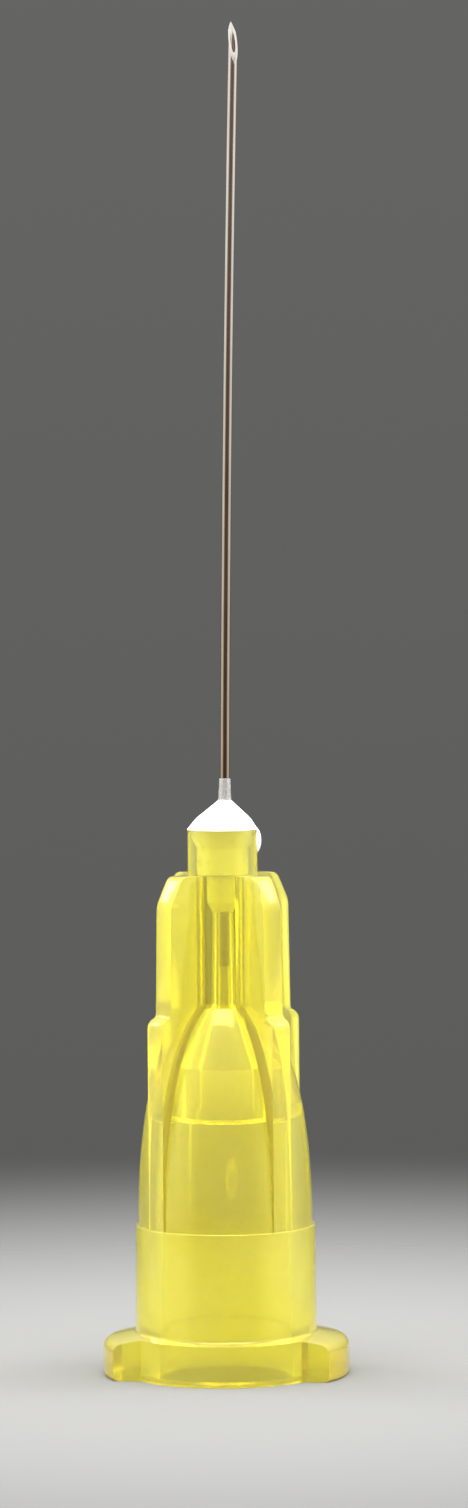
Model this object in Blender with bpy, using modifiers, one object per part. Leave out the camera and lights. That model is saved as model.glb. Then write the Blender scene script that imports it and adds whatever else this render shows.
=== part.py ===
"""Hypodermic needle, 0.30 x 25 mm: a moulded hub with a two-lug flange, a steel cannula and the adhesive between them.

The needle stands on its flange, point up. The hub's axis is Z, its two lugs lie along X, and its four fins stand on the
diagonals between them. All sizes are in metres.
"""

import math

import bmesh
import bpy
from mathutils import Matrix, Vector

MM = 0.001

# Fineness of the round shapes
TURN_STEPS = 56
CANNULA_STEPS = 24
CANNULA_RINGS = 30
ADHESIVE_STEPS = 48
ARC_SEGMENTS = 3
PANEL_SEGMENTS = 11
PIP_SEGMENTS = 16
PIP_RINGS = 10
BEAD_SEGMENTS = 20
BEAD_RINGS = 14
STEEL_SHARP_ANGLE = math.radians(30)
ADHESIVE_SHARP_ANGLE = math.radians(40)

# Fit between pieces that are bonded together
BOND_GAP = 0.006 * MM

# How far a cutter runs past the surface that it opens, and the size of the blocks that cut the ground point
CUTTER_OVERRUN = 1.0 * MM
GRINDING_BLOCK = 5.6 * MM

# Flange and its two lugs
COLLAR_DIAMETER = 6.32 * MM
LUG_SPAN = 7.77 * MM
LUG_WIDTH = 3.78 * MM
LUG_SIDE_HEIGHT = 1.12 * MM
LUG_TOP_SLOPE = math.radians(13)
LUG_TOP_ROUND = 0.30 * MM
FLANGE_BOTTOM_ROUND = 0.14 * MM
FLANGE_ROOT_ROUND = 0.10 * MM

# Plain cylinder above the flange, up to the ledge where the hollow panels start
BODY_DIAMETER = 5.71 * MM
BODY_DRAFT = 0.02 * MM
LEDGE_HEIGHT = 4.74 * MM
LEDGE_DEPTH = 0.085 * MM
LEDGE_ROUND = 0.03 * MM

# Hollow panels between the fins: a quarter of a superellipse from the ledge up to the core
PANEL_REACH = 7.32 * MM
PANEL_FULLNESS = 2.25

# Core, whose bare top end is the boss
CORE_DIAMETER = 2.20 * MM
BOSS_EDGE_ROUND = 0.04 * MM

# Four fins, narrow at the top and wide below the shoulder
FIN_THICKNESS = 0.72 * MM
FIN_TOP_DROP = 1.41 * MM
FIN_TOP_REACH = 1.95 * MM
FIN_CHAMFER_HEIGHT = 0.90 * MM
FIN_REACH_TOP = 2.42 * MM
FIN_REACH_BOTTOM = 2.48 * MM
FIN_TOP_ROUND = 0.18 * MM
FIN_SIDE_ROUND = 0.35 * MM
FIN_SHOULDER_RISE = 6.68 * MM
FIN_SHOULDER_DROP = 0.16 * MM
FIN_SHOULDER_ROUND = 0.22 * MM
FIN_SHOULDER_INNER_ROUND = 0.09 * MM
FIN_FOOT_SUNK = 0.17 * MM
RIB_INSET = 0.008 * MM
FIN_EDGE_ROUND = 0.035 * MM
FIN_EDGE_ANGLE = math.radians(60)
FIN_EDGE_SEGMENTS = 2

# Luer bore, 6 % taper on diameter
LUER_MOUTH_DIAMETER = 4.27 * MM
LUER_TAPER = 0.06
LUER_DEPTH = 8.10 * MM
LUER_CHAMFER = 0.08 * MM
LUER_END_ROUND = 0.06 * MM

# Chamber above it, then the funnel and the channel that the cannula stands in
CHAMBER_DIAMETER = 2.50 * MM
CHAMBER_LENGTH = 1.55 * MM
CHAMBER_FOOT_ROUND = 0.03 * MM
FUNNEL_LENGTH = 2.05 * MM
FUNNEL_THROAT_ROUND = 0.30 * MM
CHANNEL_LENGTH = 2.90 * MM
CHANNEL_DIAMETER_BOTTOM = 0.50 * MM
CHANNEL_DIAMETER_TOP = 0.43 * MM

# Adhesive well above the channel, narrow and then wide, up to the boss
WELL_NARROW_DEPTH = 1.15 * MM
WELL_FLOOR_CONE = 0.30 * MM
WELL_NARROW_DIAMETER = 0.66 * MM
WELL_WIDE_DEPTH = 1.45 * MM
WELL_DIAMETER = 1.08 * MM
WELL_FLARE_DEPTH = 0.60 * MM
WELL_FLARE_ROUND = 0.20 * MM
WELL_MOUTH_DIAMETER = 1.56 * MM
WELL_CORNER_ROUND = 0.05 * MM
WELL_STEP_ROUND = 0.03 * MM

# Vestige of the injection gate, in the middle of the rear panel
GATE_RISE = 1.26 * MM
GATE_WIDTH = 0.46 * MM
GATE_LENGTH = 1.10 * MM
GATE_PROUD = 0.07 * MM

# Cannula
CANNULA_DIAMETER = 0.305 * MM
CANNULA_BORE = 0.16 * MM
CANNULA_EXPOSED = 25.30 * MM
CANNULA_SUNK = 4.30 * MM

# How the cannula stands in the hub: off centre at the boss, leaning, and bowed a little over its free length
CANNULA_OFFSET = 0.075 * MM
CANNULA_LEAN = math.radians(0.60)
CANNULA_BOW = 0.213 * MM

# Ground point: one long bevel and two lancet facets beside the tip
BEVEL_LENGTH = 1.39 * MM
BEVEL_FACING = math.radians(35)
LANCET_TURN = math.radians(42)
LANCET_EXTRA_SLOPE = math.radians(11)

# Adhesive above the boss
CONE_HEIGHT = 0.98 * MM
CONE_EDGE_OVERHANG = 0.012 * MM
CONE_SHOULDER_HEIGHT = 0.34 * MM
CONE_SHOULDER_RADIUS = 0.865 * MM
CONE_SHOULDER_ROUND = 1.0 * MM
CONE_TOP_ROUND = 0.28 * MM
SLEEVE_HEIGHT = 0.62 * MM
SLEEVE_FILM_BOTTOM = 0.048 * MM
SLEEVE_FILM_TOP = 0.024 * MM
SLEEVE_TOP_ROUND = 0.02 * MM

# Adhesive that ran over the rim
RUN_DIRECTION = math.radians(5)
RUN_THICKNESS = 0.125 * MM
RUN_WIDTH = 0.62 * MM
RUN_LENGTH = 0.90 * MM
RUN_ABOVE_RIM = 0.10 * MM

COLLECTION_NAME = "hypodermic_needle"
CUTTER_COLLECTION_NAME = "cutters"

BODY_TOP_RADIUS = BODY_DIAMETER / 2 - BODY_DRAFT
PANEL_RADIUS = BODY_TOP_RADIUS - LEDGE_DEPTH
CORE_RADIUS = CORE_DIAMETER / 2
MERGE = 1e-7

# Heights inside the hub, from the mouth up to the boss, and those that hang from the boss
CHAMBER_TOP = LUER_DEPTH + CHAMBER_LENGTH
FUNNEL_TOP = CHAMBER_TOP + FUNNEL_LENGTH
WELL_FLOOR = FUNNEL_TOP + CHANNEL_LENGTH
WELL_STEP_HEIGHT = WELL_FLOOR + WELL_NARROW_DEPTH
BOSS_HEIGHT = WELL_STEP_HEIGHT + WELL_WIDE_DEPTH
FIN_TOP_HEIGHT = BOSS_HEIGHT - FIN_TOP_DROP
FIN_SHOULDER_HEIGHT = LEDGE_HEIGHT + FIN_SHOULDER_RISE
GATE_HEIGHT = LEDGE_HEIGHT + GATE_RISE
CANNULA_FOOT = BOSS_HEIGHT - CANNULA_SUNK
TIP_HEIGHT = BOSS_HEIGHT + CANNULA_EXPOSED


def clear_scene():
    for obj in list(bpy.data.objects):
        bpy.data.objects.remove(obj, do_unlink=True)


def new_collection(name):
    collection = bpy.data.collections.new(name)
    bpy.context.scene.collection.children.link(collection)
    return collection


def surface(name, colour, roughness, metallic=0.0, transmission=0.0, ior=1.49):
    material = bpy.data.materials.new(name)
    material.use_nodes = True
    shader = material.node_tree.nodes["Principled BSDF"]
    shader.inputs["Base Color"].default_value = (*colour, 1.0)
    shader.inputs["Roughness"].default_value = roughness
    shader.inputs["Metallic"].default_value = metallic
    shader.inputs["Transmission Weight"].default_value = transmission
    shader.inputs["IOR"].default_value = ior
    material.diffuse_color = (*colour, 1.0)
    return material


def add_object(name, mesh, collection, material=None):
    obj = bpy.data.objects.new(name, mesh)
    collection.objects.link(obj)
    if material:
        mesh.materials.append(material)
    return obj


def as_helper(obj):
    """A cutter or an added form: the build and a render both leave it out."""
    obj.hide_render = True
    obj.display_type = "WIRE"
    return obj


def rounded(corners):
    """The points of an outline given as (x, z, radius), with an arc at each corner that has a radius."""
    points = []
    last = len(corners) - 1
    for index, (x, z, radius) in enumerate(corners):
        here = Vector((x, z))
        if radius <= 0 or index in (0, last):
            points.append(here)
            continue
        before = Vector(corners[index - 1][:2]) - here
        after = Vector(corners[index + 1][:2]) - here
        opening = before.angle(after)
        reach = radius / math.tan(opening / 2)
        limit = 0.49 * min(before.length, after.length)
        if reach > limit:
            reach = limit
            radius = reach * math.tan(opening / 2)
        start = here + before.normalized() * reach
        middle = (before.normalized() + after.normalized()).normalized()
        centre = here + middle * (radius / math.sin(opening / 2))
        first = start - centre
        sweep = math.pi - opening
        turn = 1 if before.x * after.y - before.y * after.x < 0 else -1
        for step in range(ARC_SEGMENTS + 1):
            angle = turn * sweep * step / ARC_SEGMENTS
            cosine, sine = math.cos(angle), math.sin(angle)
            points.append(
                centre
                + Vector((first.x * cosine - first.y * sine, first.x * sine + first.y * cosine))
            )
    return points


def turned(name, outline, collection, steps=TURN_STEPS, material=None):
    """A body of revolution about Z. The outline runs from the axis, down the outer side, back to the axis."""
    mesh = bpy.data.meshes.new(name)
    vertices = [(x, 0.0, z) for x, z in outline]
    edges = [(i, i + 1) for i in range(len(vertices) - 1)]
    mesh.from_pydata(vertices, edges, [])
    obj = add_object(name, mesh, collection, material)
    screw = obj.modifiers.new("turn", "SCREW")
    screw.axis = "Z"
    screw.angle = 2 * math.pi
    screw.steps = steps
    screw.render_steps = steps
    screw.use_merge_vertices = True
    screw.merge_threshold = MERGE
    screw.use_smooth_shade = True
    return obj


def boolean(obj, other, operation, flat=False):
    """Cuts or joins two bodies. Flat splits both into triangles first, so that no face is warped by rounding."""
    if flat:
        for body in (obj, other):
            body.modifiers.new("flat faces", "TRIANGULATE")
    modifier = obj.modifiers.new(f"{operation.lower()} {other.name}", "BOOLEAN")
    modifier.operation = operation
    modifier.object = other
    modifier.solver = "EXACT"


def box(name, size, centre, collection):
    mesh = bpy.data.meshes.new(name)
    shape = bmesh.new()
    bmesh.ops.create_cube(shape, size=1.0)
    bmesh.ops.scale(shape, vec=Vector(size), verts=shape.verts)
    bmesh.ops.translate(shape, vec=Vector(centre), verts=shape.verts)
    shape.to_mesh(mesh)
    shape.free()
    return add_object(name, mesh, collection)


def made_mesh(obj):
    """Replaces the object by one that holds its evaluated mesh, so that its points can be moved."""
    graph = bpy.context.evaluated_depsgraph_get()
    mesh = bpy.data.meshes.new_from_object(obj.evaluated_get(graph))
    collection = obj.users_collection[0]
    name = obj.name
    hidden = obj.hide_render
    bpy.data.objects.remove(obj, do_unlink=True)
    made = bpy.data.objects.new(name, mesh)
    collection.objects.link(made)
    made.hide_render = hidden
    return made


def cannula_shift(height):
    """How far the cannula's middle lies from the hub's axis at this height."""
    above = height - BOSS_HEIGHT
    bow = CANNULA_BOW * (max(above, 0.0) / CANNULA_EXPOSED) ** 2
    return CANNULA_OFFSET + math.tan(CANNULA_LEAN) * above + bow


def follow_cannula(obj, share=lambda height: 1.0):
    for vertex in obj.data.vertices:
        vertex.co.x += cannula_shift(vertex.co.z) * share(vertex.co.z)


def panel_radius(height):
    """Radius of the hollow panels at a height above the ledge."""
    rise = min(max((height - LEDGE_HEIGHT) / PANEL_REACH, 0.0), 1.0)
    return PANEL_RADIUS * (1 - rise**PANEL_FULLNESS) ** (1 / PANEL_FULLNESS)


def panel_top():
    """Height at which the panels meet the core."""
    share = (CORE_RADIUS / PANEL_RADIUS) ** PANEL_FULLNESS
    return LEDGE_HEIGHT + PANEL_REACH * (1 - share) ** (1 / PANEL_FULLNESS)


def flange_top(radius):
    """Height of the flange's sloping top at a radius."""
    return LUG_SIDE_HEIGHT + (LUG_SPAN / 2 - radius) * math.tan(LUG_TOP_SLOPE)


def hub_core(collection, material):
    """Boss, core, panels, ledge, plain cylinder and a round flange, turned in one."""
    body_radius = BODY_DIAMETER / 2
    lug_radius = LUG_SPAN / 2
    top = panel_top()
    corners = [
        (0.0, BOSS_HEIGHT, 0.0),
        (CORE_RADIUS, BOSS_HEIGHT, BOSS_EDGE_ROUND),
        (CORE_RADIUS, top, 0.0),
    ]
    for step in range(1, PANEL_SEGMENTS):
        share = math.sin(step / PANEL_SEGMENTS * math.pi / 2)
        height = top + (LEDGE_HEIGHT - top) * share
        corners.append((panel_radius(height), height, 0.0))
    corners += [
        (PANEL_RADIUS, LEDGE_HEIGHT, 0.0),
        (BODY_TOP_RADIUS, LEDGE_HEIGHT, LEDGE_ROUND),
        (body_radius, flange_top(body_radius), FLANGE_ROOT_ROUND),
        (lug_radius, LUG_SIDE_HEIGHT, LUG_TOP_ROUND),
        (lug_radius, 0.0, FLANGE_BOTTOM_ROUND),
        (0.0, 0.0, 0.0),
    ]
    return turned("hub", rounded(corners), collection, material=material)


def between_lugs(helpers):
    """What is cut from the round flange: a ring outside the collar, with a slab left out of it for the two lugs."""
    inner = COLLAR_DIAMETER / 2
    outer = LUG_SPAN / 2 + CUTTER_OVERRUN
    low, high = -CUTTER_OVERRUN, flange_top(inner) + CUTTER_OVERRUN
    square = [Vector(point) for point in ((inner, high), (outer, high), (outer, low), (inner, low))]
    ring = turned("between lugs", square + square[:1], helpers)
    length, depth = 2 * (outer + CUTTER_OVERRUN), 2 * (high + CUTTER_OVERRUN)
    slab = box("lugs kept", (length, LUG_WIDTH, depth), (0, 0, 0), helpers)
    boolean(ring, as_helper(slab), "DIFFERENCE")
    return as_helper(ring)


def face_reach(radius):
    """Distance from the axis to a fin's flat outer face, when its corners lie at the radius."""
    return math.sqrt(radius**2 - (FIN_THICKNESS / 2) ** 2)


def fin_plate(name, angle, helpers):
    """Two opposite fins as one plate: an upright outline, given its thickness and rounded edges."""
    rib_reach = face_reach(BODY_TOP_RADIUS - RIB_INSET)
    foot = LEDGE_HEIGHT - FIN_FOOT_SUNK
    top, chamfer_end = FIN_TOP_HEIGHT, FIN_TOP_HEIGHT - FIN_CHAMFER_HEIGHT
    half = [
        (0.0, top, 0.0),
        (face_reach(FIN_TOP_REACH), top, FIN_TOP_ROUND),
        (face_reach(FIN_REACH_TOP), chamfer_end, FIN_SIDE_ROUND),
        (face_reach(FIN_REACH_BOTTOM), FIN_SHOULDER_HEIGHT, FIN_SHOULDER_INNER_ROUND),
        (rib_reach, FIN_SHOULDER_HEIGHT - FIN_SHOULDER_DROP, FIN_SHOULDER_ROUND),
        (rib_reach, foot, 0.0),
    ]
    right = rounded(half)
    left = [Vector((-p.x, p.y)) for p in reversed(right[1:])]
    outline = right + left
    mesh = bpy.data.meshes.new(name)
    shape = bmesh.new()
    y = -FIN_THICKNESS / 2
    ring = [shape.verts.new((p.x, y, p.y)) for p in outline]
    face = shape.faces.new(ring)
    grown = bmesh.ops.extrude_face_region(shape, geom=[face])
    moved = [item for item in grown["geom"] if isinstance(item, bmesh.types.BMVert)]
    bmesh.ops.translate(shape, vec=(0, FIN_THICKNESS, 0), verts=moved)
    bmesh.ops.recalc_face_normals(shape, faces=shape.faces)
    shape.to_mesh(mesh)
    shape.free()
    plate = add_object(name, mesh, helpers)
    bevel = plate.modifiers.new("rounded edges", "BEVEL")
    bevel.width = FIN_EDGE_ROUND
    bevel.segments = FIN_EDGE_SEGMENTS
    bevel.limit_method = "ANGLE"
    bevel.angle_limit = FIN_EDGE_ANGLE
    plate.rotation_euler.z = angle
    return as_helper(plate)


def hub_bore(helpers):
    """Everything hollow in the hub, as one turned cutter from below the mouth to above the boss."""
    mouth = LUER_MOUTH_DIAMETER / 2
    luer_end = mouth - LUER_DEPTH * LUER_TAPER / 2
    corners = [
        (0.0, BOSS_HEIGHT + CUTTER_OVERRUN, 0.0),
        (WELL_MOUTH_DIAMETER / 2, BOSS_HEIGHT + CUTTER_OVERRUN, 0.0),
        (WELL_MOUTH_DIAMETER / 2, BOSS_HEIGHT, 0.0),
        (WELL_DIAMETER / 2, BOSS_HEIGHT - WELL_FLARE_DEPTH, WELL_FLARE_ROUND),
        (WELL_DIAMETER / 2, WELL_STEP_HEIGHT, WELL_CORNER_ROUND),
        (WELL_NARROW_DIAMETER / 2, WELL_STEP_HEIGHT, WELL_STEP_ROUND),
        (WELL_NARROW_DIAMETER / 2, WELL_FLOOR + WELL_FLOOR_CONE, WELL_CORNER_ROUND),
        (CHANNEL_DIAMETER_TOP / 2, WELL_FLOOR, 0.0),
        (CHANNEL_DIAMETER_BOTTOM / 2, FUNNEL_TOP, FUNNEL_THROAT_ROUND),
        (CHAMBER_DIAMETER / 2, CHAMBER_TOP, 0.0),
        (CHAMBER_DIAMETER / 2, LUER_DEPTH, CHAMBER_FOOT_ROUND),
        (luer_end, LUER_DEPTH, LUER_END_ROUND),
        (mouth, LUER_CHAMFER, 0.0),
        (mouth + LUER_CHAMFER, 0.0, 0.0),
        (mouth + LUER_CHAMFER, -CUTTER_OVERRUN, 0.0),
        (0.0, -CUTTER_OVERRUN, 0.0),
    ]
    return as_helper(turned("hub bore", rounded(corners), helpers))


def gate_vestige(helpers):
    """A low oval pip where the plastic was injected, half sunk in the rear panel."""
    mesh = bpy.data.meshes.new("gate")
    shape = bmesh.new()
    bmesh.ops.create_uvsphere(shape, u_segments=PIP_SEGMENTS, v_segments=PIP_RINGS, radius=1.0)
    size = Vector((GATE_WIDTH / 2, 2 * GATE_PROUD, GATE_LENGTH / 2))
    bmesh.ops.scale(shape, vec=size, verts=shape.verts)
    place = Vector((0, panel_radius(GATE_HEIGHT) - GATE_PROUD, GATE_HEIGHT))
    bmesh.ops.translate(shape, vec=place, verts=shape.verts)
    shape.to_mesh(mesh)
    shape.free()
    return as_helper(add_object("gate", mesh, helpers))


def make_hub(parts, helpers):
    colour = surface("yellow polypropylene", (0.83, 0.78, 0.05), 0.22, transmission=0.8)
    hub = hub_core(parts, colour)
    boolean(hub, between_lugs(helpers), "DIFFERENCE", flat=True)
    for index, angle in enumerate((math.radians(45), math.radians(-45))):
        boolean(hub, fin_plate(f"fins {index + 1}", angle, helpers), "UNION", flat=True)
    boolean(hub, gate_vestige(helpers), "UNION", flat=True)
    boolean(hub, hub_bore(helpers), "DIFFERENCE", flat=True)
    return hub


def steel_rod(name, radius, low, high, collection, rings=CANNULA_RINGS):
    """A round rod that follows the cannula's middle line."""
    outline = [Vector((0.0, high))]
    for ring in range(rings + 1):
        outline.append(Vector((radius, high + (low - high) * ring / rings)))
    outline.append(Vector((0.0, low)))
    rod = made_mesh(turned(name, outline, collection, steps=CANNULA_STEPS))
    follow_cannula(rod)
    return rod


def grinding_block(name, point, slope, facing, helpers):
    """A block beyond a grinding plane, which passes through the point at this slope to the cannula."""
    size = GRINDING_BLOCK
    block = box(name, (size, size, size), (0, -size / 2, 0), helpers)
    tilt = Matrix.Rotation(-slope, 4, "X")
    turn = Matrix.Rotation(facing, 4, "Z")
    block.data.transform(Matrix.Translation(point) @ turn @ tilt)
    return as_helper(block)


def make_cannula(parts, helpers):
    steel = surface("stainless steel", (0.62, 0.60, 0.57), 0.25, metallic=1.0)
    radius = CANNULA_DIAMETER / 2
    cannula = steel_rod("cannula", radius, CANNULA_FOOT, TIP_HEIGHT, parts)
    cannula.data.materials.append(steel)
    low, high = CANNULA_FOOT - CUTTER_OVERRUN, TIP_HEIGHT + CUTTER_OVERRUN
    lumen = steel_rod("lumen", CANNULA_BORE / 2, low, high, helpers)
    boolean(cannula, as_helper(lumen), "DIFFERENCE")
    slope = math.atan2(CANNULA_DIAMETER, BEVEL_LENGTH)
    away = Matrix.Rotation(BEVEL_FACING, 3, "Z") @ Vector((0, radius, 0))
    tip = Vector((cannula_shift(TIP_HEIGHT), 0, TIP_HEIGHT)) + away
    planes = [("bevel", slope, 0.0)]
    for side, sign in (("left", -1), ("right", 1)):
        planes.append((f"lancet {side}", slope + LANCET_EXTRA_SLOPE, sign * LANCET_TURN))
    for name, angle, turn in planes:
        block = grinding_block(name, tip, angle, BEVEL_FACING + turn, helpers)
        boolean(cannula, block, "DIFFERENCE")
    cannula.data.shade_smooth()
    cannula.data.set_sharp_from_angle(angle=STEEL_SHARP_ANGLE)
    return cannula


def overflow(helpers):
    """The bead that ran over the rim and set against the boss."""
    mesh = bpy.data.meshes.new("overflow")
    shape = bmesh.new()
    bmesh.ops.create_uvsphere(shape, u_segments=BEAD_SEGMENTS, v_segments=BEAD_RINGS, radius=1.0)
    depth = 2 * RUN_THICKNESS
    bmesh.ops.scale(shape, vec=Vector((depth, RUN_WIDTH / 2, RUN_LENGTH / 2)), verts=shape.verts)
    middle = BOSS_HEIGHT + RUN_ABOVE_RIM - RUN_LENGTH / 2
    centre = Vector((CORE_RADIUS - RUN_THICKNESS, 0, middle))
    bmesh.ops.translate(shape, vec=centre, verts=shape.verts)
    bmesh.ops.rotate(shape, matrix=Matrix.Rotation(RUN_DIRECTION, 3, "Z"), verts=shape.verts)
    shape.to_mesh(mesh)
    shape.free()
    bead = add_object("overflow", mesh, helpers)
    rim = BOSS_HEIGHT + BOND_GAP
    reach = CORE_RADIUS + BOND_GAP
    outline = [Vector((0, rim)), Vector((reach, rim)), Vector((reach, 0)), Vector((0, 0))]
    boss = as_helper(turned("boss clearance", outline, helpers))
    boolean(bead, boss, "DIFFERENCE")
    return as_helper(bead)


def make_adhesive(parts, helpers):
    white = surface("white epoxy", (0.9, 0.9, 0.88), 0.35)
    rim = BOSS_HEIGHT + BOND_GAP
    cone_top = BOSS_HEIGHT + CONE_HEIGHT
    sleeve_top = cone_top + SLEEVE_HEIGHT
    cannula_radius = CANNULA_DIAMETER / 2
    film_top = cannula_radius + SLEEVE_FILM_TOP
    film_bottom = cannula_radius + SLEEVE_FILM_BOTTOM
    wide = WELL_DIAMETER / 2 - BOND_GAP
    narrow = WELL_NARROW_DIAMETER / 2 - BOND_GAP
    corners = [
        (0.0, sleeve_top, 0.0),
        (film_top, sleeve_top, SLEEVE_TOP_ROUND),
        (film_bottom, cone_top, CONE_TOP_ROUND),
        (CONE_SHOULDER_RADIUS, rim + CONE_SHOULDER_HEIGHT, CONE_SHOULDER_ROUND),
        (CORE_RADIUS + CONE_EDGE_OVERHANG, rim, 0.0),
        (WELL_MOUTH_DIAMETER / 2 - BOND_GAP, rim, 0.0),
        (wide, BOSS_HEIGHT - WELL_FLARE_DEPTH, WELL_FLARE_ROUND),
        (wide, WELL_STEP_HEIGHT + BOND_GAP, WELL_CORNER_ROUND),
        (narrow, WELL_STEP_HEIGHT + BOND_GAP, WELL_STEP_ROUND),
        (narrow, WELL_FLOOR + WELL_FLOOR_CONE + BOND_GAP, WELL_CORNER_ROUND),
        (CHANNEL_DIAMETER_TOP / 2 + BOND_GAP, WELL_FLOOR + 2 * BOND_GAP, 0.0),
        (0.0, WELL_FLOOR + 2 * BOND_GAP, 0.0),
    ]
    adhesive = made_mesh(turned("adhesive", rounded(corners), parts, steps=ADHESIVE_STEPS))
    adhesive.data.materials.append(white)

    def share(height):
        """The cone leans from the hub's axis at the rim to the cannula's middle at its top."""
        return min(max((height - rim) / (cone_top - rim), 0.0), 1.0)

    follow_cannula(adhesive, share)
    boolean(adhesive, overflow(helpers), "UNION")
    hole = steel_rod(
        "cannula clearance",
        cannula_radius + BOND_GAP,
        CANNULA_FOOT,
        sleeve_top + CUTTER_OVERRUN,
        helpers,
    )
    boolean(adhesive, as_helper(hole), "DIFFERENCE")
    adhesive.data.shade_smooth()
    adhesive.data.set_sharp_from_angle(angle=ADHESIVE_SHARP_ANGLE)
    return adhesive


def main():
    clear_scene()
    parts = new_collection(COLLECTION_NAME)
    helpers = new_collection(CUTTER_COLLECTION_NAME)
    make_hub(parts, helpers)
    make_cannula(parts, helpers)
    make_adhesive(parts, helpers)


main()
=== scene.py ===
import math

import bpy
from mathutils import Matrix, Vector


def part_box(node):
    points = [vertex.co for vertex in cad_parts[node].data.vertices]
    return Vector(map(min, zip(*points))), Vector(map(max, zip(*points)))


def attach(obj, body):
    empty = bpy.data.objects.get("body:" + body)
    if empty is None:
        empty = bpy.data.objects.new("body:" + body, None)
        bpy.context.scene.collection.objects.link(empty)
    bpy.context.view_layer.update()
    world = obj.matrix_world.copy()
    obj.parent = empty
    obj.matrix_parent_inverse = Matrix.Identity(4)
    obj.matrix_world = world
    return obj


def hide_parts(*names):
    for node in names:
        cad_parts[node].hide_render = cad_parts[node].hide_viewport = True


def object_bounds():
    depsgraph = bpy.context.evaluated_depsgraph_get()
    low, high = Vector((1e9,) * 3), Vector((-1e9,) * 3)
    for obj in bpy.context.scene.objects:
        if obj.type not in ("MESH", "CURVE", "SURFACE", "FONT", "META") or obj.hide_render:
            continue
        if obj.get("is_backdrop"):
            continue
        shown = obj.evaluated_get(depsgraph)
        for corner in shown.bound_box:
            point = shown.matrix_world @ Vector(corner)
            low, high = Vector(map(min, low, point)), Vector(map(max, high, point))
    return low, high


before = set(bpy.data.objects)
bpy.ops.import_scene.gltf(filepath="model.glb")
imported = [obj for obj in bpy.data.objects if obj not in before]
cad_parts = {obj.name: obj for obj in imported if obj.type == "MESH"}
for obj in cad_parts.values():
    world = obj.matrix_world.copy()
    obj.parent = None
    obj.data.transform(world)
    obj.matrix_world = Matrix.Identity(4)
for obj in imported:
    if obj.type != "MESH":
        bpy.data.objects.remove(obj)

# A hypodermic needle standing on its flange. Sizes are in millimetres and are turned to metres by mm.
mm = 0.001
mergeGap = 0.0012
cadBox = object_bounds()
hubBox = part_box("hub")
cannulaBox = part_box("cannula")
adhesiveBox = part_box("adhesive")


def say(words):
    print("scene:", words)


# Small helpers for work as done by hand


def onlyThis(piece):
    if bpy.context.object and bpy.context.object.mode != "OBJECT":
        bpy.ops.object.mode_set(mode="OBJECT")
    bpy.ops.object.select_all(action="DESELECT")
    piece.select_set(True)
    bpy.context.view_layer.objects.active = piece


def editAll(piece):
    onlyThis(piece)
    bpy.ops.object.mode_set(mode="EDIT")
    bpy.ops.mesh.select_mode(type="VERT")
    bpy.ops.mesh.select_all(action="SELECT")


def named(name):
    piece = bpy.context.object
    piece.name = name
    piece.data.name = name
    return piece


def settle(piece):
    # Puts a piece's place into its mesh
    onlyThis(piece)
    bpy.ops.object.transform_apply(location=True, rotation=True, scale=True)


def tidy(piece):
    # Merges what meets and turns the faces outwards
    editAll(piece)
    bpy.ops.mesh.remove_doubles(threshold=mergeGap * mm)
    bpy.ops.mesh.normals_make_consistent(inside=False)
    bpy.ops.object.mode_set(mode="OBJECT")


def smooth(piece, angle):
    onlyThis(piece)
    bpy.ops.object.shade_smooth_by_angle(angle=math.radians(angle))


def pickFaces(piece, wanted):
    # Selects the faces for which wanted(middle, normal) holds, in edit mode
    onlyThis(piece)
    bpy.ops.object.mode_set(mode="EDIT")
    bpy.ops.mesh.select_mode(type="FACE")
    bpy.ops.mesh.select_all(action="DESELECT")
    bpy.ops.object.mode_set(mode="OBJECT")
    for face in piece.data.polygons:
        face.select = wanted(face.center / mm, face.normal)
    bpy.ops.object.mode_set(mode="EDIT")


def pickEdges(piece, wanted):
    # Selects the edges for which wanted(one end, other end) holds, in edit mode
    onlyThis(piece)
    bpy.ops.object.mode_set(mode="EDIT")
    bpy.ops.mesh.select_mode(type="EDGE")
    bpy.ops.mesh.select_all(action="DESELECT")
    bpy.ops.object.mode_set(mode="OBJECT")
    points = piece.data.vertices
    for edge in piece.data.edges:
        one, other = (points[i].co / mm for i in edge.vertices)
        edge.select = wanted(one, other)
    bpy.ops.object.mode_set(mode="EDIT")


def same(one, other):
    return abs(one - other) < 1e-3


def combine(piece, tool, operation):
    # A Boolean with a helper shape, which is then thrown away
    onlyThis(piece)
    step = piece.modifiers.new(operation.lower(), "BOOLEAN")
    step.operation = operation
    step.object = tool
    step.solver = "EXACT"
    bpy.ops.object.modifier_apply(modifier=step.name)
    bpy.data.objects.remove(tool, do_unlink=True)


def roundedLine(corners, pieces):
    # Points (x, z) through corners (x, z, radius), with an arc where there is a radius
    points = []
    for i, (x, z, radius) in enumerate(corners):
        here = Vector((x, z))
        if radius <= 0 or i in (0, len(corners) - 1):
            points.append(here)
            continue
        back = Vector(corners[i - 1][:2]) - here
        ahead = Vector(corners[i + 1][:2]) - here
        opening = back.angle(ahead)
        reach = min(radius / math.tan(opening / 2), 0.49 * min(back.length, ahead.length))
        bend = reach * math.tan(opening / 2)
        start = here + back.normalized() * reach
        middle = here + (back.normalized() + ahead.normalized()).normalized() * (bend / math.sin(opening / 2))
        arm = start - middle
        turn = (math.pi - opening) * (1 if back.cross(ahead) < 0 else -1)
        for k in range(pieces + 1):
            points.append(middle + Matrix.Rotation(turn * k / pieces, 2) @ arm)
    return points


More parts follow.
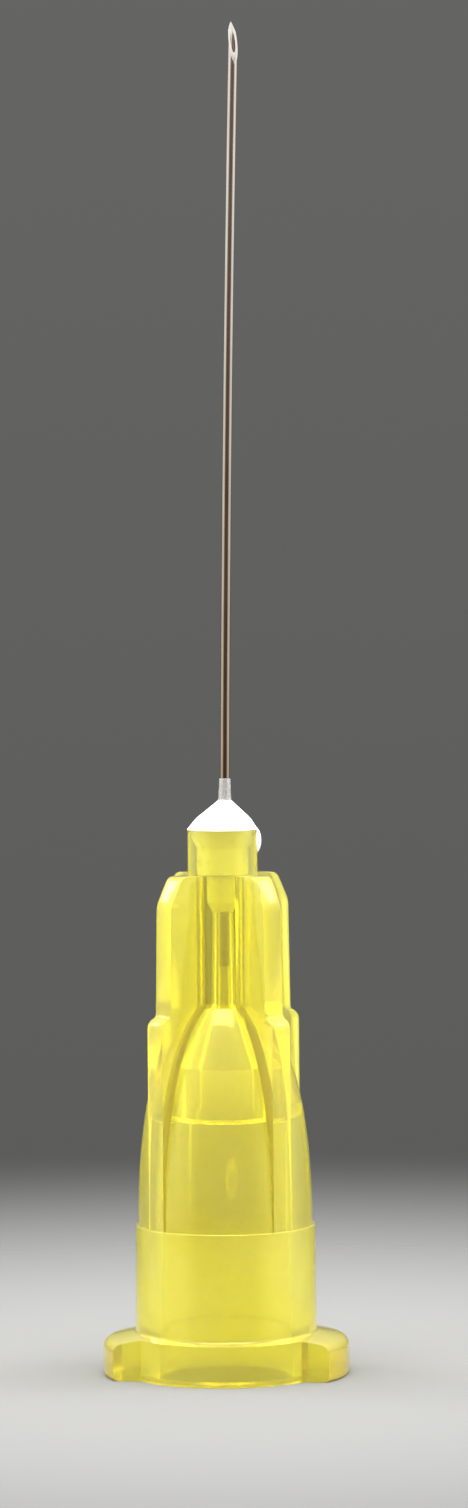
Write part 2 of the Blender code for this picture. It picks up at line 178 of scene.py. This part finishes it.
def lathe(name, line, steps):
    # Draws a line by extruding one point, then spins it round Z
    first = line[0]
    bpy.ops.object.select_all(action="DESELECT")
    bpy.ops.mesh.primitive_plane_add(size=mm, location=(0, 0, 0))
    piece = named(name)
    editAll(piece)
    bpy.ops.mesh.merge(type="CENTER")
    bpy.ops.transform.translate(value=(first.x * mm, 0, first.y * mm))
    for here, after in zip(line, line[1:]):
        way = (after - here) * mm
        bpy.ops.mesh.extrude_region_move(TRANSFORM_OT_translate={"value": (way.x, 0, way.y)})
    bpy.ops.mesh.select_all(action="SELECT")
    bpy.ops.mesh.spin(steps=steps, angle=2 * math.pi, center=(0, 0, 0), axis=(0, 0, 1))
    tidy(piece)
    return piece


def block(name, size, middle):
    bpy.ops.object.select_all(action="DESELECT")
    bpy.ops.mesh.primitive_cube_add(size=1, location=Vector(middle) * mm, scale=Vector(size) * mm)
    piece = named(name)
    settle(piece)
    return piece


def ball(name, segments, rings, middle, halves, turn=0):
    bpy.ops.object.select_all(action="DESELECT")
    bpy.ops.mesh.primitive_uv_sphere_add(
        segments=segments,
        ring_count=rings,
        radius=1,
        location=[v * mm for v in middle],
        rotation=(0, 0, turn),
        scale=[v * mm for v in halves],
    )
    piece = named(name)
    settle(piece)
    return piece


def disc(name, radius, thick, sides):
    bpy.ops.object.select_all(action="DESELECT")
    bpy.ops.mesh.primitive_cylinder_add(vertices=sides, radius=radius * mm, depth=thick * mm)
    piece = named(name)
    settle(piece)
    return piece


# The hub: a turned body with four fins, two lugs and a stepped bore

hub = dict(
    steps=176,
    arc=5,
    collar=6.32,
    lugSpan=(hubBox[1].x - hubBox[0].x) / mm,
    lugWidth=3.78,
    lugSide=1.12,
    lugSlope=13,
    lugRound=0.30,
    bottomRound=0.14,
    rootRound=0.10,
    body=5.71,
    draft=0.02,
    ledge=4.74,
    ledgeDepth=0.085,
    ledgeRound=0.03,
    panelReach=7.32,
    panelFullness=2.25,
    panelPieces=30,
    core=2.20,
    boss=17.20,
    bossRound=0.05,
    shadeAngle=30,
)

fin = dict(
    thick=0.72,
    top=15.79,
    topReach=1.95,
    chamfer=0.90,
    reachTop=2.42,
    reachBottom=2.48,
    shoulder=11.42,
    drop=0.16,
    topRound=0.18,
    chamferRound=0.16,
    shoulderRound=0.20,
    innerRound=0.09,
    edgeRound=0.045,
    inset=0.008,
    sunk=0.17,
    footKept=0.1,
    roundPieces=5,
    edgePieces=3,
)

bore = dict(
    mouth=4.27,
    taper=0.06,
    luer=8.10,
    chamfer=0.08,
    luerRound=0.06,
    chamber=2.50,
    chamberFootRound=0.03,
    chamberTop=9.65,
    chamberTopRound=0.04,
    funnelTop=11.70,
    throatRound=0.30,
    channelBottom=0.50,
    channelTop=0.43,
    floor=14.60,
    floorCone=0.30,
    floorRound=0.05,
    narrow=0.66,
    narrowRound=0.03,
    step=15.75,
    stepRound=0.05,
    wide=1.08,
    flare=0.60,
    flareRound=0.2,
    flareMouth=1.56,
    overrun=1,
    arc=5,
    steps=144,
)


def panelRadius(height):
    # A quarter of a superellipse, from the ledge upwards
    rise = min(max((height - hub["ledge"]) / hub["panelReach"], 0), 1)
    widest = hub["body"] / 2 - hub["draft"] - hub["ledgeDepth"]
    return widest * (1 - rise ** hub["panelFullness"]) ** (1 / hub["panelFullness"])


def makeBody():
    bodyRadius, coreRadius = hub["body"] / 2, hub["core"] / 2
    topRadius = bodyRadius - hub["draft"]
    widest = topRadius - hub["ledgeDepth"]
    lug = hub["lugSpan"] / 2
    share = (coreRadius / widest) ** hub["panelFullness"]
    top = hub["ledge"] + hub["panelReach"] * (1 - share) ** (1 / hub["panelFullness"])
    corners = [(0, hub["boss"], 0), (coreRadius, hub["boss"], hub["bossRound"]), (coreRadius, top, 0)]
    for k in range(1, hub["panelPieces"]):
        height = top + (hub["ledge"] - top) * math.sin(k / hub["panelPieces"] * math.pi / 2)
        corners.append((panelRadius(height), height, 0))
    rise = math.tan(math.radians(hub["lugSlope"]))
    corners += [
        (widest, hub["ledge"], 0),
        (topRadius, hub["ledge"], hub["ledgeRound"]),
        (bodyRadius, hub["lugSide"] + (lug - bodyRadius) * rise, hub["rootRound"]),
        (lug, hub["lugSide"], hub["lugRound"]),
        (lug, 0, hub["bottomRound"]),
        (0, 0, 0),
    ]
    return lathe("hubPlastic", roundedLine(corners, hub["arc"]), hub["steps"])


def cutBetweenLugs(piece):
    # A ring outside the collar, less a slab where the two lugs stay. It only has to reach past the lugs
    outside, thick = 5.5, 6
    ring = disc("aroundCollar", outside, thick, 64)
    combine(ring, disc("collarKept", hub["collar"] / 2, thick + 2, hub["steps"]), "DIFFERENCE")
    combine(ring, block("lugsKept", (14, hub["lugWidth"], thick + 3), (0, 0, 0)), "DIFFERENCE")
    combine(piece, ring, "DIFFERENCE")


def flatReach(radius):
    # How far a flat fin reaches when its corners lie on a circle
    return math.sqrt(radius**2 - (fin["thick"] / 2) ** 2)


def makeFinPlate(name, turn):
    # Two opposite fins as one plate: a block whose top is extruded and drawn in, step by step
    low = hub["ledge"] - fin["sunk"]
    rib = flatReach(hub["body"] / 2 - hub["draft"] - fin["inset"])
    shoulder = fin["shoulder"] - fin["drop"]
    plate = block(name, (2 * rib, fin["thick"], shoulder - low), (0, 0, (shoulder + low) / 2))
    pickFaces(plate, lambda middle, normal: normal.z > 0.9)
    width = rib
    stages = [
        (flatReach(fin["reachBottom"]), fin["drop"]),
        (flatReach(fin["reachTop"]), fin["top"] - fin["chamfer"] - fin["shoulder"]),
        (flatReach(fin["topReach"]), fin["chamfer"]),
    ]
    for reach, rise in stages:
        bpy.ops.mesh.extrude_region_move(TRANSFORM_OT_translate={"value": (0, 0, rise * mm)})
        bpy.ops.transform.resize(value=(reach / width, 1, 1), center_override=(0, 0, 0))
        width = reach
    rounds = [
        (shoulder, fin["shoulderRound"]),
        (fin["shoulder"], fin["innerRound"]),
        (fin["top"] - fin["chamfer"], fin["chamferRound"]),
        (fin["top"], fin["topRound"]),
    ]
    for height, radius in rounds:
        pickEdges(plate, lambda a, b: same(a.z, height) and same(b.z, height) and same(a.x, b.x))
        bpy.ops.mesh.bevel(offset=radius * mm, segments=fin["roundPieces"], clamp_overlap=True)
    # Then every edge of the two flat sides, but not those at the foot
    half, foot = fin["thick"] / 2, low + fin["footKept"]
    pickEdges(plate, lambda a, b: same(abs(a.y), half) and same(a.y, b.y) and max(a.z, b.z) > foot)
    bpy.ops.mesh.bevel(offset=fin["edgeRound"] * mm, segments=fin["edgePieces"], clamp_overlap=True)
    editAll(plate)
    bpy.ops.transform.rotate(value=math.radians(turn), orient_axis="Z", center_override=(0, 0, 0))
    bpy.ops.object.mode_set(mode="OBJECT")
    return plate


def makeBore():
    mouth = bore["mouth"] / 2
    luerEnd = mouth - bore["luer"] * bore["taper"] / 2
    corners = [
        (0, hub["boss"] + bore["overrun"], 0),
        (bore["flareMouth"] / 2, hub["boss"] + bore["overrun"], 0),
        (bore["flareMouth"] / 2, hub["boss"], 0),
        (bore["wide"] / 2, hub["boss"] - bore["flare"], bore["flareRound"]),
        (bore["wide"] / 2, bore["step"], bore["stepRound"]),
        (bore["narrow"] / 2, bore["step"], bore["narrowRound"]),
        (bore["narrow"] / 2, bore["floor"] + bore["floorCone"], bore["floorRound"]),
        (bore["channelTop"] / 2, bore["floor"], 0),
        (bore["channelBottom"] / 2, bore["funnelTop"], bore["throatRound"]),
        (bore["chamber"] / 2, bore["chamberTop"], bore["chamberTopRound"]),
        (bore["chamber"] / 2, bore["luer"], bore["chamberFootRound"]),
        (luerEnd, bore["luer"], bore["luerRound"]),
        (mouth, bore["chamfer"], 0),
        (mouth + bore["chamfer"], 0, 0),
        (mouth + bore["chamfer"], -bore["overrun"], 0),
        (0, -bore["overrun"], 0),
    ]
    return lathe("boreCutter", roundedLine(corners, bore["arc"]), bore["steps"])


gate = dict(
    width=0.56,
    length=1.40,
    proud=0.24,
    height=5.95,
    segments=32,
    rings=20,
)


def makeGate():
    # The low pip where the plastic was injected, on the far side
    middle = (0, panelRadius(gate["height"]) - gate["proud"], gate["height"])
    halves = (gate["width"] / 2, 2 * gate["proud"], gate["length"] / 2)
    return ball("gatePip", gate["segments"], gate["rings"], middle, halves)


def makeHub():
    piece = makeBody()
    cutBetweenLugs(piece)
    combine(piece, makeFinPlate("finsA", 45), "UNION")
    combine(piece, makeFinPlate("finsB", -45), "UNION")
    combine(piece, makeGate(), "UNION")
    combine(piece, makeBore(), "DIFFERENCE")
    smooth(piece, hub["shadeAngle"])
    say(f"hub with {len(piece.data.polygons)} faces")
    return piece


# The cannula: a drawn tube, off centre, leaning and a little bowed, with a ground point

tube = dict(
    outer=0.305,
    hole=0.16,
    sides=48,
    rings=64,
    holeSides=32,
    holeRings=40,
    foot=cannulaBox[0].z / mm,
    tip=hub["boss"] + 25.296,
    offset=0.075,
    lean=0.60,
    bow=0.213,
    free=25.30,
    bevelLength=1.39,
    bevelFacing=35,
    lancetTurn=42,
    lancetSlope=11,
    shadeAngle=25,
)


def tubeShift(height):
    above = height - hub["boss"]
    bend = tube["bow"] * (max(above, 0) / tube["free"]) ** 2
    return tube["offset"] + math.tan(math.radians(tube["lean"])) * above + bend


def bentRod(name, radius, low, high, sides, rings):
    # A disc extruded upwards ring by ring along the tube's middle line
    bpy.ops.object.select_all(action="DESELECT")
    bpy.ops.mesh.primitive_circle_add(
        vertices=sides, radius=radius * mm, fill_type="NGON", location=(tubeShift(low) * mm, 0, low * mm)
    )
    rod = named(name)
    settle(rod)
    editAll(rod)
    bpy.ops.mesh.select_mode(type="FACE")
    bpy.ops.mesh.select_all(action="SELECT")
    here = low
    for k in range(rings):
        after = low + (high - low) * (k + 1) / rings
        step = ((tubeShift(after) - tubeShift(here)) * mm, 0, (after - here) * mm)
        bpy.ops.mesh.extrude_region_move(TRANSFORM_OT_translate={"value": step})
        here = after
    bpy.ops.object.mode_set(mode="OBJECT")
    tidy(rod)
    return rod


def makeCannula():
    piece = bentRod("cannulaTube", tube["outer"] / 2, tube["foot"], tube["tip"], tube["sides"], tube["rings"])
    slope = math.degrees(math.atan2(tube["outer"], tube["bevelLength"]))
    facing = Matrix.Rotation(math.radians(tube["bevelFacing"]), 3, "Z")
    tip = Vector((tubeShift(tube["tip"]), 0, tube["tip"])) + facing @ Vector((0, tube["outer"] / 2, 0))
    # The long bevel, then a steeper facet on each side of the point
    steep = slope + tube["lancetSlope"]
    for tilt, turn in ((slope, 0), (steep, -tube["lancetTurn"]), (steep, tube["lancetTurn"])):
        side = Matrix.Rotation(math.radians(tube["bevelFacing"] + turn), 3, "Z")
        away = side @ Vector((0, -math.cos(math.radians(tilt)), math.sin(math.radians(tilt))))
        editAll(piece)
        bpy.ops.mesh.bisect(plane_co=tip * mm, plane_no=away, use_fill=True, clear_outer=True, threshold=1e-8)
        bpy.ops.object.mode_set(mode="OBJECT")
    low, high = tube["foot"] - 1, tube["tip"] + 1
    hole = bentRod("holeCutter", tube["hole"] / 2, low, high, tube["holeSides"], tube["holeRings"])
    combine(piece, hole, "DIFFERENCE")
    smooth(piece, tube["shadeAngle"])
    say(f"cannula with {len(piece.data.polygons)} faces")
    return piece


# The adhesive: a plug in the well, a cone on the boss, a bead over the rim and a thin sleeve up the tube

glue = dict(
    steps=120,
    arc=6,
    gap=0.006,
    hold=0.003,
    bossRoomFoot=14,
    tubeGap=0.001,
    tubeRoom=(12, 20),
    tubeRings=16,
    cone=0.92,
    overhang=0.012,
    shoulderRise=0.34,
    shoulder=0.865,
    shoulderRound=1.0,
    topRound=0.36,
    capRise=0.02,
    beadThick=0.125,
    beadWidth=0.62,
    beadLength=0.90,
    beadTurn=5,
    beadAbove=0.10,
    beadSegments=48,
    beadRings=32,
    film=0.048,
    filmTop=0.024,
    filmLap=0.05,
    filmTopRound=0.02,
    filmFlare=0.02,
    filmFlareRise=0.12,
    filmFlareRound=0.1,
    filmSteps=64,
    filmArc=5,
    shadeAngle=40,
)


def followTube(piece, low, high):
    # Moves a round piece over to the tube's middle line, more the higher it is
    for point in piece.data.vertices:
        height = point.co.z / mm
        share = min(max((height - low) / (high - low), 0), 1)
        point.co.x += tubeShift(height) * share * mm


def makeAdhesive():
    rim = hub["boss"] + glue["gap"]
    top = hub["boss"] + glue["cone"]
    neck = tube["outer"] / 2 + glue["film"]
    wide, narrow = bore["wide"] / 2 + glue["hold"], bore["narrow"] / 2 + glue["hold"]
    floor = bore["floor"] + 2 * glue["gap"]
    corners = [
        (0, top + glue["capRise"], 0),
        (neck, top + glue["capRise"], 0),
        (neck, top, glue["topRound"]),
        (glue["shoulder"], rim + glue["shoulderRise"], glue["shoulderRound"]),
        (hub["core"] / 2 + glue["overhang"], rim, 0),
        (bore["flareMouth"] / 2 + glue["hold"], rim, 0),
        (wide, hub["boss"] - bore["flare"], bore["flareRound"]),
        (wide, bore["step"] + glue["hold"], bore["stepRound"]),
        (narrow, bore["step"] + glue["hold"], bore["narrowRound"]),
        (narrow, bore["floor"] + bore["floorCone"], bore["floorRound"]),
        (bore["channelTop"] / 2 + glue["gap"], floor, 0),
        (0, floor, 0),
    ]
    piece = lathe("adhesiveCone", roundedLine(corners, glue["arc"]), glue["steps"])
    followTube(piece, rim, top)
    turn = math.radians(glue["beadTurn"])
    reach = hub["core"] / 2 - glue["beadThick"]
    height = hub["boss"] + glue["beadAbove"] - glue["beadLength"] / 2
    middle = (reach * math.cos(turn), reach * math.sin(turn), height)
    halves = (2 * glue["beadThick"], glue["beadWidth"] / 2, glue["beadLength"] / 2)
    bead = ball("bead", glue["beadSegments"], glue["beadRings"], middle, halves, turn)
    # The bead hangs outside the boss, and the tube passes through the cone
    side, low = hub["core"] / 2 + glue["hold"], glue["bossRoomFoot"]
    outline = [Vector(p) for p in ((0, rim), (side, rim), (side, low), (0, low))]
    combine(bead, lathe("bossRoom", outline, glue["steps"]), "DIFFERENCE")
    combine(piece, bead, "UNION")
    around, (low, high) = tube["outer"] / 2 + glue["tubeGap"], glue["tubeRoom"]
    combine(piece, bentRod("tubeRoom", around, low, high, tube["sides"], glue["tubeRings"]), "DIFFERENCE")
    smooth(piece, glue["shadeAngle"])
    say(f"adhesive with {len(piece.data.polygons)} faces")
    return piece


def makeSleeve():
    # The see-through film that climbed the tube
    low = hub["boss"] + glue["cone"] - glue["filmLap"]
    high = adhesiveBox[1].z / mm
    foot, top = tube["outer"] / 2 + glue["film"], tube["outer"] / 2 + glue["filmTop"]
    corners = [
        (0, high, 0),
        (top, high, glue["filmTopRound"]),
        (foot, low + glue["filmFlareRise"], glue["filmFlareRound"]),
        (foot + glue["filmFlare"], low, 0),
        (0, low, 0),
    ]
    piece = lathe("adhesiveSleeve", roundedLine(corners, glue["filmArc"]), glue["filmSteps"])
    followTube(piece, 0, 1)
    smooth(piece, glue["shadeAngle"])
    say(f"sleeve with {len(piece.data.polygons)} faces")
    return piece


# Materials


def newMaterial(name):
    material = bpy.data.materials.new(name)
    material.use_nodes = True
    nodes = material.node_tree.nodes
    return material, nodes, material.node_tree.links, nodes["Principled BSDF"]


def objectPlace(nodes):
    return nodes.new("ShaderNodeTexCoord").outputs["Object"]


def noiseNode(nodes, links, place, size, detail=2):
    noise = nodes.new("ShaderNodeTexNoise")
    noise.inputs["Scale"].default_value = 1 / (size * mm)
    noise.inputs["Detail"].default_value = detail
    links.new(place, noise.inputs["Vector"])
    return noise.outputs["Fac"]


def rangeNode(nodes, links, value, low, high, fromLow=0.3, fromHigh=0.7):
    # Spreads a value from one range to another. Noise mostly lies between 0.3 and 0.7
    spread = nodes.new("ShaderNodeMapRange")
    spread.inputs["From Min"].default_value = fromLow
    spread.inputs["From Max"].default_value = fromHigh
    spread.inputs["To Min"].default_value = low
    spread.inputs["To Max"].default_value = high
    links.new(value, spread.inputs["Value"])
    return spread.outputs["Result"]


def colourRamp(nodes, links, value, stops):
    ramp = nodes.new("ShaderNodeValToRGB")
    elements = ramp.color_ramp.elements
    for element, (position, colour) in zip(elements, (stops[0], stops[-1])):
        element.position, element.color = position, (*colour, 1)
    for position, colour in stops[1:-1]:
        elements.new(position).color = (*colour, 1)
    links.new(value, ramp.inputs["Fac"])
    return ramp.outputs["Color"]


def bumpNode(nodes, links, height, strength, distance, shader):
    bump = nodes.new("ShaderNodeBump")
    bump.inputs["Strength"].default_value = strength
    bump.inputs["Distance"].default_value = distance * mm
    links.new(height, bump.inputs["Height"])
    links.new(bump.outputs["Normal"], shader.inputs["Normal"])


plastic = dict(
    tones=[(0.35, (1.0, 0.975, 0.31)), (0.7, (1.0, 0.957, 0.23))],
    flowSize=2.4,
    clear=0.80,
    bending=1.49,
    sheen=(1.0, 0.94, 0.3),
    rough=(0.09, 0.16),
    roughSize=0.35,
    waveSize=0.9,
    waveStrength=0.25,
    waveHeight=0.004,
    tint=(0.998, 0.972, 0.02),
    tintDensity=1000,
)


def plasticMaterial():
    material, nodes, links, shader = newMaterial("yellowPolypropylene")
    place = objectPlace(nodes)
    flow = noiseNode(nodes, links, place, plastic["flowSize"], 3)
    links.new(colourRamp(nodes, links, flow, plastic["tones"]), shader.inputs["Base Color"])
    fine = noiseNode(nodes, links, place, plastic["roughSize"], 3)
    links.new(rangeNode(nodes, links, fine, *plastic["rough"]), shader.inputs["Roughness"])
    waves = noiseNode(nodes, links, place, plastic["waveSize"])
    bumpNode(nodes, links, waves, plastic["waveStrength"], plastic["waveHeight"], shader)
    shader.inputs["IOR"].default_value = plastic["bending"]
    shader.inputs["Specular Tint"].default_value = (*plastic["sheen"], 1)
    shader.inputs["Transmission Weight"].default_value = plastic["clear"]
    absorb = nodes.new("ShaderNodeVolumeAbsorption")
    absorb.inputs["Color"].default_value = (*plastic["tint"], 1)
    absorb.inputs["Density"].default_value = plastic["tintDensity"]
    links.new(absorb.outputs["Volume"], nodes["Material Output"].inputs["Volume"])
    return material


steelLook = dict(
    footTones=[(0.3, (0.21, 0.165, 0.12)), (0.7, (0.27, 0.22, 0.165))],
    pointTones=[(0.3, (0.36, 0.335, 0.30)), (0.7, (0.43, 0.40, 0.365))],
    footHeight=19,
    pointHeight=38,
    rough=(0.12, 0.22),
    lineWidth=0.03,
    lineStretch=0.02,
    lineStrength=0.15,
    lineHeight=0.002,
)


def steelMaterial():
    # Drawn lines run along the tube, and the steel is a little browner towards the hub
    material, nodes, links, shader = newMaterial("drawnSteel")
    place = objectPlace(nodes)
    stretch = nodes.new("ShaderNodeMapping")
    stretch.inputs["Scale"].default_value = (1, 1, steelLook["lineStretch"])
    links.new(place, stretch.inputs["Vector"])
    lines = noiseNode(nodes, links, stretch.outputs["Vector"], steelLook["lineWidth"], 3)
    split = nodes.new("ShaderNodeSeparateXYZ")
    links.new(place, split.inputs["Vector"])
    foot, point = steelLook["footHeight"] * mm, steelLook["pointHeight"] * mm
    height = rangeNode(nodes, links, split.outputs["Z"], 0, 1, foot, point)
    blend = nodes.new("ShaderNodeMix")
    blend.data_type = "RGBA"
    links.new(height, blend.inputs["Factor"])
    for socket, tones in ((6, steelLook["footTones"]), (7, steelLook["pointTones"])):
        links.new(colourRamp(nodes, links, lines, tones), blend.inputs[socket])
    links.new(blend.outputs[2], shader.inputs["Base Color"])
    links.new(rangeNode(nodes, links, lines, *steelLook["rough"]), shader.inputs["Roughness"])
    bumpNode(nodes, links, lines, steelLook["lineStrength"], steelLook["lineHeight"], shader)
    shader.inputs["Metallic"].default_value = 1.0
    return material


glueLook = dict(
    tones=[(0.3, (0.93, 0.93, 0.91)), (0.7, (0.97, 0.97, 0.96))],
    cloudSize=0.5,
    rough=(0.24, 0.38),
    grainSize=0.25,
    grainStrength=0.2,
    grainHeight=0.004,
    depthShare=0.4,
    depth=0.1,
)


def glueMaterial():
    material, nodes, links, shader = newMaterial("whiteEpoxy")
    place = objectPlace(nodes)
    cloud = noiseNode(nodes, links, place, glueLook["cloudSize"])
    links.new(colourRamp(nodes, links, cloud, glueLook["tones"]), shader.inputs["Base Color"])
    links.new(rangeNode(nodes, links, cloud, *glueLook["rough"]), shader.inputs["Roughness"])
    grain = noiseNode(nodes, links, place, glueLook["grainSize"])
    bumpNode(nodes, links, grain, glueLook["grainStrength"], glueLook["grainHeight"], shader)
    shader.inputs["Subsurface Weight"].default_value = glueLook["depthShare"]
    shader.inputs["Subsurface Radius"].default_value = (1, 1, 1)
    shader.inputs["Subsurface Scale"].default_value = glueLook["depth"] * mm
    return material


filmLook = dict(
    tones=[(0.3, (0.72, 0.73, 0.72)), (0.7, (0.80, 0.81, 0.80))],
    cloudSize=0.2,
    rough=(0.18, 0.30),
    bending=1.45,
    clear=0.6,
)


def filmMaterial():
    material, nodes, links, shader = newMaterial("thinEpoxy")
    cloud = noiseNode(nodes, links, objectPlace(nodes), filmLook["cloudSize"])
    links.new(colourRamp(nodes, links, cloud, filmLook["tones"]), shader.inputs["Base Color"])
    links.new(rangeNode(nodes, links, cloud, *filmLook["rough"]), shader.inputs["Roughness"])
    shader.inputs["IOR"].default_value = filmLook["bending"]
    shader.inputs["Transmission Weight"].default_value = filmLook["clear"]
    return material


def dress(piece, material, node):
    piece.data.materials.clear()
    piece.data.materials.append(material)
    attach(piece, "root")
    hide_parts(node)


# Camera, as the photo was taken

lens = dict(
    distance=170,
    height=27.3,
    turn=5.3,
    sideways=0.387,
    aim=19.567,
    roll=-0.465,
    pixelsPerMm=31.8,
    frameHeight=1508,
    sensor=36,
    nearest=1,
    farthest=10000,
)


def placeCamera():
    turn = math.radians(lens["turn"])
    right = Vector((math.cos(turn), math.sin(turn), 0))
    away = Vector((-math.sin(turn), math.cos(turn), 0))
    place = away * -lens["distance"] + Vector((0, 0, lens["height"])) + right * lens["sideways"]
    dip = math.atan2(lens["height"] - lens["aim"], lens["distance"])
    ahead = away * math.cos(dip) - Vector((0, 0, 1)) * math.sin(dip)
    up = right.cross(ahead)
    roll = math.radians(lens["roll"])
    across = right * math.cos(roll) + up * math.sin(roll)
    upward = up * math.cos(roll) - right * math.sin(roll)
    bpy.ops.object.camera_add()
    camera = bpy.context.object
    camera.name = "photoCamera"
    facing = Matrix((across, upward, -ahead)).transposed().to_4x4()
    camera.matrix_world = Matrix.Translation(place * mm) @ facing
    focal = lens["pixelsPerMm"] * lens["distance"] / math.cos(dip)
    camera.data.sensor_width = lens["sensor"]
    camera.data.lens = focal * lens["sensor"] / lens["frameHeight"]
    camera.data.clip_start, camera.data.clip_end = lens["nearest"] * mm, lens["farthest"] * mm
    bpy.context.scene.camera = camera
    say("camera placed")


# Floor and light

studio = dict(
    floorColour=(0.20, 0.20, 0.196),
    floorRadius=200,
    fadeStart=8,
    fadeEnd=60,
    backLow=(0.105, 0.105, 0.103),
    backHigh=(0.135, 0.135, 0.128),
    horizon=0.15,
    around=[
        (-1.0, (0.100, 0.066, 0.042)),
        (-0.80, (0.110, 0.075, 0.050)),
        (-0.50, (0.85, 0.85, 0.85)),
        (0.0, (0.90, 0.90, 0.90)),
        (0.30, (0.80, 0.80, 0.80)),
        (0.52, (0.30, 0.30, 0.30)),
        (0.75, (0.05, 0.05, 0.05)),
        (1.0, (0.05, 0.05, 0.05)),
    ],
    topGain=0.6,
    strength=2.0,
    topPlace=(0, -20, 175),
    topSize=110,
    topPower=0.40,
    glints=[("glintLeft", (-0.80, 0.29, 0.52)), ("glintRight", (0.76, 0.14, 0.63))],
    glintMiddle=15,
    glintDistance=150,
    glintSize=45,
    glintPower=0.07,
)


def makeFloor():
    # A pale disc that fades out into the backdrop
    bpy.ops.object.select_all(action="DESELECT")
    bpy.ops.mesh.primitive_circle_add(vertices=128, radius=studio["floorRadius"] * mm, fill_type="NGON")
    floor = named("paleFloor")
    material, nodes, links, shader = newMaterial("paleFloorPaint")
    place = objectPlace(nodes)
    shader.inputs["Base Color"].default_value = (*studio["floorColour"], 1)
    shader.inputs["Roughness"].default_value = 1.0
    shader.inputs["Specular IOR Level"].default_value = 0.0
    length = nodes.new("ShaderNodeVectorMath")
    length.operation = "LENGTH"
    links.new(place, length.inputs[0])
    near, far = studio["fadeStart"] * mm, studio["fadeEnd"] * mm
    fade = rangeNode(nodes, links, length.outputs["Value"], 0, 1, near, far)
    fade.node.interpolation_type = "SMOOTHSTEP"
    mix = nodes.new("ShaderNodeMixShader")
    clear = nodes.new("ShaderNodeBsdfTransparent")
    links.new(fade, mix.inputs["Fac"])
    links.new(shader.outputs["BSDF"], mix.inputs[1])
    links.new(clear.outputs["BSDF"], mix.inputs[2])
    links.new(mix.outputs["Shader"], nodes["Material Output"].inputs["Surface"])
    floor.data.materials.append(material)
    floor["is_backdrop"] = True


def makeWorld():
    # A soft light tent, dark behind the needle and behind the camera. The camera itself sees plain grey
    world = bpy.data.worlds.new("studioAir")
    bpy.context.scene.world = world
    world.use_nodes = True
    nodes, links = world.node_tree.nodes, world.node_tree.links
    place = nodes.new("ShaderNodeTexCoord").outputs["Generated"]
    split = nodes.new("ShaderNodeSeparateXYZ")
    links.new(place, split.inputs["Vector"])
    rise = rangeNode(nodes, links, split.outputs["Z"], 0, 1, -studio["horizon"], studio["horizon"])
    seen = colourRamp(nodes, links, rise, [(0, studio["backLow"]), (1, studio["backHigh"])])
    turn = math.radians(lens["turn"])
    dot = nodes.new("ShaderNodeVectorMath")
    dot.operation = "DOT_PRODUCT"
    dot.inputs[1].default_value = (-math.sin(turn), math.cos(turn), 0)
    links.new(place, dot.inputs[0])
    share = rangeNode(nodes, links, dot.outputs["Value"], 0, 1, -1, 1)
    tent = colourRamp(nodes, links, share, [((way + 1) / 2, tone) for way, tone in studio["around"]])
    lift = rangeNode(nodes, links, split.outputs["Z"], 0, studio["topGain"], 0, 1)
    gain = nodes.new("ShaderNodeVectorMath")
    gain.operation = "ADD"
    links.new(tent, gain.inputs[0])
    links.new(lift, gain.inputs[1])
    scaled = nodes.new("ShaderNodeVectorMath")
    scaled.operation = "SCALE"
    scaled.inputs["Scale"].default_value = studio["strength"]
    links.new(gain.outputs["Vector"], scaled.inputs[0])
    path = nodes.new("ShaderNodeLightPath")
    choose = nodes.new("ShaderNodeMix")
    choose.data_type = "RGBA"
    links.new(path.outputs["Is Camera Ray"], choose.inputs["Factor"])
    links.new(scaled.outputs["Vector"], choose.inputs[6])
    links.new(seen, choose.inputs[7])
    links.new(choose.outputs[2], nodes["Background"].inputs["Color"])
    nodes["Background"].inputs["Strength"].default_value = 1


def softbox(name, size, place, aim, power):
    bpy.ops.object.light_add(type="AREA", location=Vector(place) * mm)
    lamp = bpy.context.object
    lamp.name = name
    lamp.data.shape = "SQUARE"
    lamp.data.size = size * mm
    lamp.data.energy = power
    lamp.rotation_euler = (Vector(place) - Vector(aim)).to_track_quat("Z", "Y").to_euler()
    lamp.visible_camera = False


def makeStudio():
    makeFloor()
    makeWorld()
    softbox("topBox", studio["topSize"], studio["topPlace"], (0, 0, 0), studio["topPower"])
    middle = Vector((0, 0, studio["glintMiddle"]))
    for name, way in studio["glints"]:
        place = Vector(way) * studio["glintDistance"] + middle
        softbox(name, studio["glintSize"], place, middle, studio["glintPower"])
    say("floor and lights placed")


# Everything in turn: how light is followed through the plastic, then camera, studio and pieces

scene = bpy.context.scene
scene.view_settings.view_transform = "Standard"
scene.cycles.volume_bounces = 12
scene.cycles.max_bounces = 32
scene.cycles.transmission_bounces = 32
placeCamera()
makeStudio()
dress(makeHub(), plasticMaterial(), "hub")
dress(makeCannula(), steelMaterial(), "cannula")
dress(makeAdhesive(), glueMaterial(), "adhesive")
dress(makeSleeve(), filmMaterial(), "adhesive")

sizes = {"cad": [list(corner) for corner in cadBox], "visual": [list(corner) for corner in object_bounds()]}
say(f"box {sizes}")
